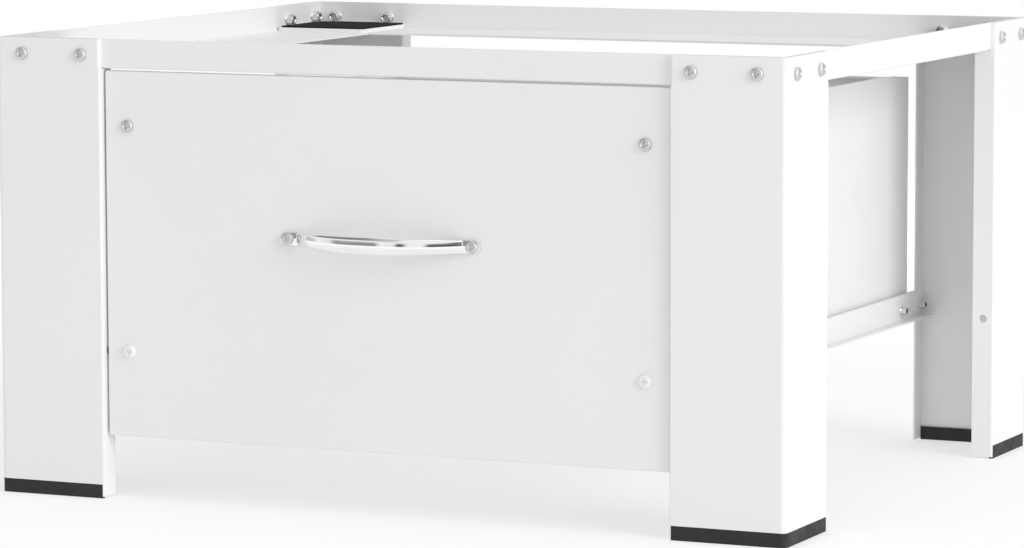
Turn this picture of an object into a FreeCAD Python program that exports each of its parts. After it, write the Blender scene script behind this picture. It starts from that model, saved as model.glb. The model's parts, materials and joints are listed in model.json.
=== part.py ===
import FreeCAD, Part
import math
import os
import re

import Sketcher

# A washer pedestal: an open frame of bent-sheet legs and rails, with a drawer that slides out to the front.
# Millimetres. X points to the right of someone facing the drawer, Y to the back and Z up.
# The origin is on the floor, under the middle of the whole box, handle and screw heads included.

Vector = FreeCAD.Vector

# Driving dimensions: alias, size, meaning.
SIZES = (
    ("frame_width", "630", "over the outer faces of the left and right legs"),
    ("frame_depth", "530", "over the outer faces of the front and back legs"),
    ("frame_height", "342", "floor to the top of the rails"),
    ("frame_gauge", "1.5", "sheet of the legs, rails and runners"),
    ("bend_radius", "1.6", "outside radius of an ordinary bend"),
    ("leg_face_width", "88", "leg face that looks to the front or the back"),
    ("leg_side_width", "81", "leg face that looks to the side"),
    ("leg_corner_radius", "4.5", "outside radius of the bend between the two leg faces"),
    ("leg_face_flange", "17", "depth of the return on the free edge of a leg's front or back face"),
    ("leg_side_flange", "17", "depth of the return on the free edge of a leg's side face"),
    ("leg_toe_gap", "1.3", "floor to the lower end of the leg returns"),
    ("lip_step", "0.7", "how much narrower a leg face is beside the rail"),
    ("lip_bend", "1.6", "outside radius of the bend of a lip that stands against a rail"),
    ("shoulder_gap", "0.3", "top of the leg returns to the underside of the rail"),
    ("foot_height", "10.4", "rubber strip under a leg"),
    ("foot_thickness", "3.2", "rubber strip, outside to inside"),
    ("rail_height", "21.7", "upright wall of a rail"),
    ("rail_inset", "4.8", "outer face of a leg to the outer face of the rail"),
    ("pad_width", "76", "corner pad along the front"),
    ("pad_depth", "78", "corner pad along the side"),
    ("pad_inset", "10", "outer face of a leg to the corner pad"),
    ("pad_corner", "3", "corner radius of a pad and its plate"),
    ("pad_thickness", "1.3", "corner pad"),
    ("plate_thickness", "3", "plate under a corner pad"),
    ("nut_room", "6.2", "axis of a leg screw to the pad beside its nut"),
    ("leg_screw_drop", "12", "top of the rails down to the leg screws"),
    ("front_leg_face_near", "22.5", "side of the frame to the nearer screw in the face of a front leg"),
    ("front_leg_face_far", "72", "side of the frame to the farther screw in the face of a front leg"),
    ("front_leg_side_near", "16.3", "front of the frame to the nearer screw in the side of a front leg"),
    ("front_leg_side_far", "63.3", "front of the frame to the farther screw in the side of a front leg"),
    ("back_leg_face_near", "21", "side of the frame to the nearer screw in the face of a back leg"),
    ("back_leg_face_far", "69.8", "side of the frame to the farther screw in the face of a back leg"),
    ("back_leg_side_near", "20.8", "back of the frame to the nearer screw in the side of a back leg"),
    ("back_leg_side_far", "68.2", "back of the frame to the farther screw in the side of a back leg"),
    ("return_hole_height", "110.3", "floor to the holes in the leg returns and the runner bolts"),
    ("return_hole_inset", "8.5", "side of the frame to the hole in a leg's side return"),
    ("return_hole", "6.5", "diameter of the hole in a leg return"),
    ("runner_floor", "101.1", "floor to the underside of the runners"),
    ("runner_height", "21.2", "upright web of a runner"),
    ("runner_flange", "10.5", "outward flange of a runner, web included"),
    ("runner_end_gap", "5", "front or back of the frame to the ends of a runner"),
    ("web_cut_length", "7", "cut upper end of a runner's web, along the runner"),
    ("web_cut_height", "8", "cut upper end of a runner's web, upwards"),
    ("outer_bolt_inset", "11", "front or back of the frame to the bolts between leg and runner"),
    ("inner_bolt_inset", "56", "front or back of the frame to the bolts between runner and slide rail"),
    ("slide_flange", "29.5", "inward flange of a slide rail, web included"),
    ("slide_end_gap", "3", "leg return to the end of a slide rail"),
    ("stop_inset", "3", "rear end of a slide rail to the back of its stop tab"),
    ("stop_height", "14", "stop tab above the underside of the slide rail"),
    ("stop_clearance", "0.3", "closed drawer to the stop tab"),
    ("slide_clearance", "0.3", "slide rail to the drawer that rides on it"),
    ("large_thread", "5", "leg screws and drawer front screws"),
    ("large_head", "9.6", "their head diameter"),
    ("large_head_height", "3", "domed head of a leg screw or drawer front screw"),
    ("bolt_head_height", "0.9", "low head of a runner bolt"),
    ("large_nut", "8", "across flats"),
    ("large_nut_height", "5", "seat to top"),
    ("leg_nut_height", "6.5", "seat to top of a leg's nut"),
    ("runner_nut", "6", "across flats"),
    ("runner_nut_height", "5", "seat to top of a runner's nut"),
    ("small_thread", "4", "handle screws and runner bolts"),
    ("small_head", "9.2", "their head diameter"),
    ("small_head_height", "2", "domed head of a handle screw"),
    ("small_nut", "7", "across flats"),
    ("small_nut_height", "4", "seat to top"),
    ("nut_flange", "1.2", "thickness of a nut's flange"),
    ("nut_flange_spread", "1", "how far a nut's flange stands out past its flats"),
    ("runner_nut_spread", "0.6", "how far a runner nut's flange stands out past its flats"),
    ("leg_screw_end_drop", "1", "how far a leg screw ends inside its nut"),
    ("thread_end", "1.6", "how far a screw of the drawer stands out of its nut"),
    ("bolt_end", "0.2", "how far a runner bolt stands out of its nut"),
    ("thread_clearance", "0.05", "nut to screw, on the radius"),
    ("hole_clearance", "0.3", "screw hole to screw, on the radius"),
    ("front_gauge", "1.2", "sheet of the drawer front"),
    ("front_return", "6", "depth of the returns around the drawer front"),
    ("front_inset", "5.2", "face of the legs to the face of the drawer front"),
    ("front_side_gap", "1.3", "drawer front to the leg return beside it"),
    ("front_top_gap", "1.6", "drawer front to the rail above it"),
    ("front_floor_gap", "47", "floor to the drawer front"),
    ("drawer_gauge", "1", "sheet of the drawer box"),
    ("drawer_height", "194.4", "sides of the drawer box"),
    ("drawer_side_gap", "0.4", "drawer side to the return of the drawer front"),
    ("side_front_flange", "30", "inward flange at the front of a drawer side"),
    ("side_rear_flange", "15", "inward flange at the back and the bottom of a drawer side"),
    ("hem_height", "10", "folded edge along the top of a drawer side"),
    ("taper_length", "67", "stretch over which the top of a drawer side falls towards the back"),
    ("taper_drop", "3.5", "how far it falls"),
    ("drawer_lip", "10", "upturned edges of the drawer bottom"),
    ("back_flange", "12", "forward flange along the top of the drawer back"),
    ("sheet_clearance", "0.3", "drawer bottom and drawer back to the sheets beside them"),
    ("front_screw_inset", "18.9", "edge of the drawer front to its screws"),
    ("front_screw_high", "278.1", "floor to the upper screws of the drawer front"),
    ("front_screw_low", "110.9", "floor to the lower screws of the drawer front"),
    ("handle_level", "200.4", "floor to the middle of the handle"),
    ("handle_spacing", "147.4", "between the two handle screws"),
    ("handle_reach", "28", "drawer front to the outermost point of the handle"),
    ("handle_radius", "100", "outside radius of the bow"),
    ("handle_bend", "3", "inside radius between the bow and its tabs"),
    ("handle_height", "12.6", "handle bar and tabs, top to bottom"),
    ("handle_thickness", "3", "handle bar, front to back"),
    ("handle_rounding", "1.4", "rounded front edges of the handle bar"),
)

# Sizes that follow from the driving ones: alias, formula, meaning.
PLACES = (
    ("half_width", "=frame_width / 2", "middle to the outer face of a leg"),
    ("half_depth", "=frame_depth / 2", "middle of the frame to the front or back of a leg"),
    ("frame_middle", "=(handle_reach - front_inset - large_head_height) / 2", "middle of the frame in Y"),
    ("rail_floor", "=frame_height - rail_height", "underside of the rails"),
    ("ledge_top", "=rail_floor + frame_gauge", "upper face of the ledges"),
    ("nut_depth", "=rail_inset + frame_gauge", "outer face of a leg to the seat of a leg nut"),
    ("nut_reach", "=nut_depth + leg_nut_height + 0.7", "outer face of a leg to the pad behind a nut"),
    ("plate_inset", "=nut_depth + 0.5", "outer face of a leg to the plate under a pad"),
    ("bay_half_width", "=half_width - leg_face_width", "middle to a leg's inner return"),
    ("bay_half_depth", "=half_depth - leg_side_width", "middle of the frame to a leg's side return"),
    ("shoulder", "=rail_floor - shoulder_gap", "top of the leg returns"),
    ("screw_level", "=frame_height - leg_screw_drop", "floor to the leg screws"),
    ("large_hole", "=large_thread + 2 * hole_clearance", "hole for a large screw"),
    ("small_hole", "=small_thread + 2 * hole_clearance", "hole for a small screw or bolt"),
    ("runner_face", "=bay_half_width + frame_gauge", "middle to the inner face of a runner's web"),
    ("slide_gap", "=leg_face_flange + slide_end_gap", "front or back of the frame to the ends of a slide rail"),
    ("drawer_rear_gap", "=slide_gap + stop_inset + frame_gauge + stop_clearance", "drawer to the back"),
    ("drawer_face", "=frame_middle - half_depth + front_inset", "face of the drawer front in Y"),
    ("drawer_floor", "=runner_floor + frame_gauge + slide_clearance", "underside of the drawer box"),
    ("drawer_length", "=frame_depth - front_inset - drawer_rear_gap", "drawer face to the drawer's rear"),
    ("front_half_width", "=bay_half_width - front_side_gap", "half the width of the drawer front"),
    ("front_height", "=rail_floor - front_top_gap - front_floor_gap", "height of the drawer front"),
    ("side_face", "=front_half_width - front_gauge - drawer_side_gap", "middle to the drawer side's outside"),
    ("front_screw_x", "=front_half_width - front_screw_inset", "middle to a drawer front screw"),
    ("handle_screw_x", "=handle_spacing / 2", "middle to a handle screw"),
)

FUNCTIONS = ("sqrt", "cos", "sin", "tan")
SIDES = (("left", -1), ("right", 1))
ENDS = (("front", -1), ("back", 1))
END_NAMES = {sign: name for name, sign in ENDS}
SCREWS = ("near", "far")

document = FreeCAD.newDocument("washer_pedestal")
sheet = document.addObject("Spreadsheet::Sheet", "Sizes")
for row, (alias, content, meaning) in enumerate(SIZES + PLACES, start=1):
    sheet.set(f"A{row}", alias)
    sheet.set(f"B{row}", content)
    sheet.set(f"C{row}", meaning)
    sheet.setAlias(f"B{row}", alias)
document.recompute()

pieces = []


# Helpers for sizes, sketches and features.

def bound(formula):
    """Point every size named in a formula at its cell in the sheet."""

    def cell(word):
        name = word.group()
        return name if name in FUNCTIONS else f"Sizes.{name}"

    return re.sub(r"[a-z]\w+", cell, formula)


def size(formula):
    """Work out a formula's value now."""
    return float(sheet.evalExpression(bound(formula)))


def new_body(label, across="0", along="0", up="0"):
    """Start a piece whose own frame stands at three formulas of the row's frame."""
    body = document.addObject("PartDesign::Body", label)
    body.Label = label
    body.setExpression("Placement.Base.x", bound(across))
    body.setExpression("Placement.Base.y", bound(along))
    body.setExpression("Placement.Base.z", bound(up))
    return body


def new_sketch(body, plane, name, level="0"):
    """Start a sketch on an origin plane of the body, at a level of the axis that the plane is square to.

    The axes of a sketch on XY are X and Y, on XZ they are X and Z, and on YZ they are Y and Z.
    """
    sketch = body.newObject("Sketcher::SketchObject", name)
    support = next(item for item in body.Origin.OriginFeatures if item.Role == f"{plane}_Plane")
    sketch.AttachmentSupport = [(support, "")]
    sketch.MapMode = "FlatFace"
    normal_sign = "-1" if plane == "XZ" else "1"
    sketch.setExpression("AttachmentOffset.Base.z", bound(f"{normal_sign} * ({level})"))
    return sketch


def hold(sketch, geometry, point, across, up):
    """Hold one point of a sketch at two formulas."""
    for kind, formula in (("DistanceX", across), ("DistanceY", up)):
        constraint = Sketcher.Constraint(kind, -1, 1, geometry, point, size(formula))
        index = sketch.addConstraint(constraint)
        sketch.setExpression(f"Constraints[{index}]", bound(formula))


def add_arc(sketch, start, end, middle, radius):
    """Add an arc between two points of a sketch; give its number and which of its ends comes first."""
    turn = (start - middle).cross(end - middle).z
    first, second = (start, end) if turn > 0 else (end, start)
    angles = [math.atan2(spot.y - middle.y, spot.x - middle.x) for spot in (first, second)]
    circle = Part.Circle(middle, Vector(0, 0, 1), size(radius))
    index = sketch.addGeometry(Part.ArcOfCircle(circle, *angles))
    constraint = sketch.addConstraint(Sketcher.Constraint("Radius", index, size(radius)))
    sketch.setExpression(f"Constraints[{constraint}]", bound(radius))
    return index, (1, 2) if turn > 0 else (2, 1)


def spot_of(corner):
    """The present place of a corner whose first two items are formulas."""
    return Vector(size(corner[0]), size(corner[1]), 0)


def outline(sketch, corners):
    """Draw a closed outline.

    A corner is two formulas, or three where it is rounded: the third is its radius, and the two
    edges that meet there run along the sketch's axes.
    """
    stops = []
    for number, corner in enumerate(corners):
        if len(corner) == 2:
            stops.append((*corner, None))
            continue
        across, up, radius = corner
        here = spot_of(corner)
        arc_ends = []
        for neighbour in (corners[number - 1], corners[(number + 1) % len(corners)]):
            way = (spot_of(neighbour) - here).normalize()
            arc_ends.append((f"{across} + {way.x:.0f} * ({radius})", f"{up} + {way.y:.0f} * ({radius})"))
        middle = spot_of(arc_ends[0]) + spot_of(arc_ends[1]) - here
        stops.append((*arc_ends[0], (middle, radius)))
        stops.append((*arc_ends[1], None))
    edges = []
    for number, (across, up, arc) in enumerate(stops):
        start = spot_of((across, up))
        end = spot_of(stops[(number + 1) % len(stops)])
        if arc:
            edges.append(add_arc(sketch, start, end, *arc))
        else:
            edges.append((sketch.addGeometry(Part.LineSegment(start, end)), (1, 2)))
    for number, (edge, (first, last)) in enumerate(edges):
        following, (following_first, _) = edges[(number + 1) % len(edges)]
        sketch.addConstraint(Sketcher.Constraint("Coincident", edge, last, following, following_first))
        hold(sketch, edge, first, stops[number][0], stops[number][1])


def rectangle(sketch, low_across, low_up, high_across, high_up):
    """Draw a rectangle between two opposite corners."""
    outline(sketch, [(low_across, low_up), (high_across, low_up), (high_across, high_up), (low_across, high_up)])


def ring(sketch, across, up, diameter):
    """Draw a circle."""
    index = sketch.addGeometry(Part.Circle(spot_of((across, up)), Vector(0, 0, 1), size(diameter) / 2))
    hold(sketch, index, 3, across, up)
    constraint = sketch.addConstraint(Sketcher.Constraint("Diameter", index, size(diameter)))
    sketch.setExpression(f"Constraints[{constraint}]", bound(diameter))


def pad(body, sketch, length, both_ways=False, backwards=False):
    """Thicken a sketch into solid material."""
    feature = body.newObject("PartDesign::Pad", f"{sketch.Name}_pad")
    feature.Profile = sketch
    feature.setExpression("Length", bound(length))
    feature.SideType = "Symmetric" if both_ways else "One side"
    feature.Reversed = backwards
    return feature


def pocket(body, sketch, length, both_ways=True, backwards=False):
    """Cut a sketch out of the body."""
    document.recompute()
    before = body.Shape.Volume
    feature = body.newObject("PartDesign::Pocket", f"{sketch.Name}_pocket")
    feature.Profile = sketch
    feature.setExpression("Length", bound(length))
    feature.SideType = "Symmetric" if both_ways else "One side"
    feature.Reversed = backwards
    document.recompute()
    if not body.Shape.Volume < before:
        raise ValueError(f"{feature.Name} cuts nothing out of {body.Label}")
    return feature


def fillet(body, name, radius, chosen):
    """Round the edges of the body, seen in its own frame, for which chosen(edge) is true."""
    document.recompute()
    tip = body.Tip
    names = [f"Edge{number}" for number, edge in enumerate(tip.Shape.Edges, start=1) if chosen(edge)]
    if not names:
        raise ValueError(f"{name} finds no edge on {body.Label}")
    feature = body.newObject("PartDesign::Fillet", name)
    feature.Base = (tip, names)
    feature.setExpression("Radius", bound(radius))
    return feature


def near(value, formula):
    """Whether a measured value is the formula's."""
    return abs(value - size(formula)) < 1e-4


def runs_along(edge, axis):
    """Whether an edge is straight and parallel to an axis: "x", "y" or "z"."""
    if not isinstance(edge.Curve, Part.Line):
        return False
    return abs(getattr(edge.Curve.Direction, axis)) > 0.999


def leg_screw(end, face, screw):
    """The size that places a screw in a leg: in its face or its side, the near or the far one."""
    return f"{END_NAMES[end]}_leg_{face}_{screw}"


def from_corner(corners, side, end):
    """Turn corners measured inwards from the outer corner of the frame into a sketch on XY."""
    return [(f"{-side} * ({across})", f"{-end} * ({along})", *radius) for across, along, *radius in corners]


# Frame pieces. Each leg, foot, corner plate and corner pad is drawn inwards from its own outer corner of the frame.

def leg_plan(face_flange, side_flange, narrower, bend):
    """The bent sheet of a leg seen from above, with returns of the given depths and outer bend radius."""
    face = f"leg_face_width - {narrower}"
    side = f"leg_side_width - {narrower}"
    inner_bend = f"{bend} - frame_gauge"
    return [
        ("0", "0", "leg_corner_radius"),
        ("0", side, bend),
        (side_flange, side),
        (side_flange, f"{side} - frame_gauge"),
        ("frame_gauge", f"{side} - frame_gauge", inner_bend),
        ("frame_gauge", "frame_gauge", "leg_corner_radius - frame_gauge"),
        (f"{face} - frame_gauge", "frame_gauge", inner_bend),
        (f"{face} - frame_gauge", face_flange),
        (face, face_flange),
        (face, "0", bend),
    ]


def make_leg(label, side, end):
    """A leg: deep returns below the rail, shallow lips that stand against the rail, and its holes."""
    body = new_body(label, f"{side} * half_width", f"frame_middle + {end} * half_depth")

    lower = new_sketch(body, "XY", f"{label}_lower", "leg_toe_gap")
    outline(lower, from_corner(leg_plan("leg_face_flange", "leg_side_flange", "0", "bend_radius"), side, end))
    pad(body, lower, "shoulder - leg_toe_gap")

    upper = new_sketch(body, "XY", f"{label}_upper", "shoulder")
    outline(upper, from_corner(leg_plan("rail_inset", "rail_inset", "lip_step", "lip_bend"), side, end))
    pad(body, upper, "frame_height - shoulder")

    # The two faces end on the rubber foot, while the returns run down beside it.
    foot = new_sketch(body, "XY", f"{label}_foot_recess")
    face_end = "leg_face_width - frame_gauge"
    side_end = "leg_side_width - frame_gauge"
    within = "leg_corner_radius + 1"
    outline(foot, from_corner([("-1", "-1"), ("-1", side_end), (within, side_end), (within, within),
                               (face_end, within), (face_end, "-1")], side, end))
    pocket(body, foot, "2 * foot_height")

    inner_return = new_sketch(body, "YZ", f"{label}_inner_return",
                              f"{-side} * (leg_face_width - frame_gauge / 2)")
    ring(inner_return, f"{-end} * outer_bolt_inset", "return_hole_height", "return_hole")
    pocket(body, inner_return, "2 * frame_gauge")

    side_return = new_sketch(body, "XZ", f"{label}_side_return",
                             f"{-end} * (leg_side_width - frame_gauge / 2)")
    ring(side_return, f"{-side} * return_hole_inset", "return_hole_height", "return_hole")
    pocket(body, side_return, "2 * frame_gauge")

    face_holes = new_sketch(body, "XZ", f"{label}_face_holes", f"{-end} * frame_gauge / 2")
    side_holes = new_sketch(body, "YZ", f"{label}_side_holes", f"{-side} * frame_gauge / 2")
    for screw in SCREWS:
        ring(face_holes, f"{-side} * {leg_screw(end, 'face', screw)}", "screw_level", "large_hole")
        ring(side_holes, f"{-end} * {leg_screw(end, 'side', screw)}", "screw_level", "large_hole")
    pocket(body, face_holes, "2 * frame_gauge")
    pocket(body, side_holes, "2 * frame_gauge")
    pieces.append(body)


def make_foot(label, side, end):
    """A rubber strip under the two faces of a leg, between its returns."""
    body = new_body(label, f"{side} * half_width", f"frame_middle + {end} * half_depth")
    plan = new_sketch(body, "XY", f"{label}_plan")
    face_end = "leg_face_width - frame_gauge"
    side_end = "leg_side_width - frame_gauge"
    outline(plan, from_corner([
        ("0", "0", "leg_corner_radius"),
        ("0", side_end),
        ("foot_thickness", side_end),
        ("foot_thickness", "foot_thickness", "leg_corner_radius - foot_thickness"),
        (face_end, "foot_thickness"),
        (face_end, "0"),
    ], side, end))
    pad(body, plan, "foot_height")
    pieces.append(body)


def make_corner_plate(label, side, end):
    """A plate on two ledges, under a corner pad."""
    body = new_body(label, f"{side} * half_width", f"frame_middle + {end} * half_depth", "ledge_top")
    plan = new_sketch(body, "XY", f"{label}_plan")
    outline(plan, from_corner([
        ("plate_inset", "plate_inset", "pad_corner"),
        ("plate_inset", "pad_inset + pad_depth", "pad_corner"),
        ("pad_inset + pad_width", "pad_inset + pad_depth", "pad_corner"),
        ("pad_inset + pad_width", "plate_inset", "pad_corner"),
    ], side, end))
    pad(body, plan, "plate_thickness")
    pieces.append(body)


def make_corner_pad(label, side, end):
    """A rubber pad on a corner plate, cut out around the nuts beside it."""
    body = new_body(label, f"{side} * half_width", f"frame_middle + {end} * half_depth",
                    "ledge_top + plate_thickness")
    plan = new_sketch(body, "XY", f"{label}_plan")
    face_near, face_far = (leg_screw(end, "face", screw) for screw in SCREWS)
    side_near, side_far = (leg_screw(end, "side", screw) for screw in SCREWS)
    outline(plan, from_corner([
        ("nut_reach", "nut_reach"),
        ("nut_reach", f"{side_near} + nut_room"),
        ("pad_inset", f"{side_near} + nut_room"),
        ("pad_inset", f"{side_far} - nut_room"),
        ("nut_reach", f"{side_far} - nut_room"),
        ("nut_reach", f"{side_far} + nut_room"),
        ("pad_inset", f"{side_far} + nut_room"),
        ("pad_inset", "pad_inset + pad_depth", "pad_corner"),
        ("pad_inset + pad_width", "pad_inset + pad_depth", "pad_corner"),
        ("pad_inset + pad_width", "pad_inset", "pad_corner"),
        (f"{face_far} + nut_room", "pad_inset"),
        (f"{face_far} + nut_room", "nut_reach"),
        (f"{face_far} - nut_room", "nut_reach"),
        (f"{face_far} - nut_room", "pad_inset"),
        (f"{face_near} + nut_room", "pad_inset"),
        (f"{face_near} + nut_room", "nut_reach"),
    ], side, end))
    pad(body, plan, "pad_thickness")
    pieces.append(body)


def make_cross_rail(label, end):
    """The front or back rail: a wall and an inward ledge, mitred at both ends."""
    body = new_body(label, "0", f"frame_middle + {end} * half_depth", "rail_floor")
    plan = new_sketch(body, "XY", f"{label}_plan")
    outline(plan, [
        ("-(half_width - rail_inset)", f"{-end} * rail_inset"),
        ("half_width - rail_inset", f"{-end} * rail_inset"),
        ("bay_half_width", f"{-end} * leg_side_width"),
        ("-bay_half_width", f"{-end} * leg_side_width"),
    ])
    pad(body, plan, "rail_height")
    above_ledge = new_sketch(body, "XY", f"{label}_above_ledge", "rail_height")
    rectangle(above_ledge, "-half_width", f"{-end} * (rail_inset + frame_gauge)",
              "half_width", f"{-end} * (leg_side_width + 1)")
    pocket(body, above_ledge, "rail_height - frame_gauge", both_ways=False)
    outer_face = f"{-end} * rail_inset"
    inner_face = f"{-end} * (rail_inset + frame_gauge)"
    bend_rail(body, "x", "y", outer_face, inner_face)
    holes = new_sketch(body, "XZ", f"{label}_holes", f"{-end} * (rail_inset + frame_gauge / 2)")
    for _, side in SIDES:
        for screw in SCREWS:
            ring(holes, f"{side} * (half_width - {leg_screw(end, 'face', screw)})", "screw_level - rail_floor",
                 "large_hole")
    pocket(body, holes, "2 * frame_gauge")
    pieces.append(body)


def make_side_rail(label, side):
    """The left or right rail: a wall and an inward ledge, mitred at both ends."""
    body = new_body(label, f"{side} * half_width", "frame_middle", "rail_floor")
    plan = new_sketch(body, "XY", f"{label}_plan")
    outline(plan, [
        (f"{-side} * rail_inset", "-(half_depth - rail_inset)"),
        (f"{-side} * rail_inset", "half_depth - rail_inset"),
        (f"{-side} * leg_face_width", "bay_half_depth"),
        (f"{-side} * leg_face_width", "-bay_half_depth"),
    ])
    pad(body, plan, "rail_height")
    above_ledge = new_sketch(body, "XY", f"{label}_above_ledge", "rail_height")
    rectangle(above_ledge, f"{-side} * (rail_inset + frame_gauge)", "-half_depth",
              f"{-side} * (leg_face_width + 1)", "half_depth")
    pocket(body, above_ledge, "rail_height - frame_gauge", both_ways=False)
    outer_face = f"{-side} * rail_inset"
    inner_face = f"{-side} * (rail_inset + frame_gauge)"
    bend_rail(body, "y", "x", outer_face, inner_face)
    holes = new_sketch(body, "YZ", f"{label}_holes", f"{-side} * (rail_inset + frame_gauge / 2)")
    for _, end in ENDS:
        for screw in SCREWS:
            ring(holes, f"{end} * (half_depth - {leg_screw(end, 'side', screw)})", "screw_level - rail_floor",
                 "large_hole")
    pocket(body, holes, "2 * frame_gauge")
    pieces.append(body)


def bend_rail(body, along, across, outer_face, inner_face):
    """Round the bend between a rail's wall and its ledge, outside and inside."""

    def bend(face, level):
        def chosen(edge):
            middle = edge.CenterOfMass
            return runs_along(edge, along) and near(getattr(middle, across), face) and near(middle.z, level)

        return chosen

    fillet(body, f"{body.Label}_outer_bend", "bend_radius", bend(outer_face, "0"))
    fillet(body, f"{body.Label}_inner_bend", "bend_radius - frame_gauge", bend(inner_face, "frame_gauge"))


def make_runner(label, side):
    """An outer angle along the drawer bay: its flange turned outwards, the upper corners of its web cut off."""
    body = new_body(label, f"{side} * runner_face", "frame_middle", "runner_floor")
    section = new_sketch(body, "XZ", f"{label}_section")
    outline(section, [
        ("0", "0", "bend_radius"),
        (f"{side} * runner_flange", "0"),
        (f"{side} * runner_flange", "frame_gauge"),
        (f"{side} * frame_gauge", "frame_gauge", "bend_radius - frame_gauge"),
        (f"{side} * frame_gauge", "runner_height"),
        ("0", "runner_height"),
    ])
    pad(body, section, "frame_depth - 2 * runner_end_gap", both_ways=True)
    web_ends = new_sketch(body, "YZ", f"{label}_web_ends", f"{side} * frame_gauge / 2")
    for _, end in ENDS:
        tip = "half_depth - runner_end_gap"
        outline(web_ends, [
            (f"{end} * ({tip} - web_cut_length)", "runner_height"),
            (f"{end} * ({tip})", "runner_height - web_cut_height"),
            (f"{end} * ({tip} + 1)", "runner_height - web_cut_height"),
            (f"{end} * ({tip} + 1)", "runner_height + 1"),
            (f"{end} * ({tip} - web_cut_length)", "runner_height + 1"),
        ])
    pocket(body, web_ends, "2 * frame_gauge")
    holes = new_sketch(body, "YZ", f"{label}_holes", f"{side} * frame_gauge / 2")
    for _, end in ENDS:
        for inset in ("outer_bolt_inset", "inner_bolt_inset"):
            ring(holes, f"{end} * (half_depth - {inset})", "return_hole_height - runner_floor", "small_hole")
    pocket(body, holes, "2 * frame_gauge")
    pieces.append(body)


def make_slide_rail(label, side):
    """An inner angle that carries the drawer, with its flange turned inwards and a stop tab at the back."""
    body = new_body(label, f"{side} * bay_half_width", "frame_middle", "runner_floor")
    section = new_sketch(body, "XZ", f"{label}_section")
    flange_edge = f"{side} * (frame_gauge - slide_flange)"
    outline(section, [
        (f"{side} * frame_gauge", "0", "bend_radius"),
        (flange_edge, "0"),
        (flange_edge, "frame_gauge"),
        ("0", "frame_gauge", "bend_radius - frame_gauge"),
        ("0", "runner_height"),
        (f"{side} * frame_gauge", "runner_height"),
    ])
    pad(body, section, "frame_depth - 2 * slide_gap", both_ways=True)
    tab = new_sketch(body, "XY", f"{label}_stop")
    tab_back = "half_depth - slide_gap - stop_inset"
    rectangle(tab, flange_edge, f"{tab_back} - frame_gauge", f"{-side} * bend_radius", tab_back)
    pad(body, tab, "stop_height")
    holes = new_sketch(body, "YZ", f"{label}_holes", f"{side} * frame_gauge / 2")
    for _, end in ENDS:
        ring(holes, f"{end} * (half_depth - inner_bolt_inset)", "return_hole_height - runner_floor", "small_hole")
    pocket(body, holes, "2 * frame_gauge")
    pieces.append(body)


# Drawer pieces. They are drawn from the face of the drawer front backwards.

def make_drawer_front():
    """A shallow folded tray, open to the back, with holes for its own screws and the handle's."""
    label = "drawer_front"
    body = new_body(label, "0", "drawer_face", "front_floor_gap")
    face = new_sketch(body, "XZ", f"{label}_face")
    rectangle(face, "-front_half_width", "0", "front_half_width", "front_height")
    pad(body, face, "front_return", backwards=True)

    def on_rim(edge):
        return runs_along(edge, "y")

    fillet(body, f"{label}_corners", "bend_radius", on_rim)

    def on_face(edge):
        return near(edge.BoundBox.YMax, "0")

    fillet(body, f"{label}_bends", "bend_radius - 0.01", on_face)
    hollow = new_sketch(body, "XZ", f"{label}_hollow", "front_return")
    inner_bend = "bend_radius - front_gauge"
    inner_x = "front_half_width - front_gauge"
    inner_top = "front_height - front_gauge"
    outline(hollow, [
        (f"-({inner_x})", "front_gauge", inner_bend),
        (inner_x, "front_gauge", inner_bend),
        (inner_x, inner_top, inner_bend),
        (f"-({inner_x})", inner_top, inner_bend),
    ])
    pocket(body, hollow, "front_return - front_gauge", both_ways=False, backwards=True)
    holes = new_sketch(body, "XZ", f"{label}_holes", "front_gauge / 2")
    for _, side in SIDES:
        ring(holes, f"{side} * handle_screw_x", "handle_level - front_floor_gap", "small_hole")
        for level in ("front_screw_high", "front_screw_low"):
            ring(holes, f"{side} * front_screw_x", f"{level} - front_floor_gap", "large_hole")
    pocket(body, holes, "2 * front_gauge")
    pieces.append(body)


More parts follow.
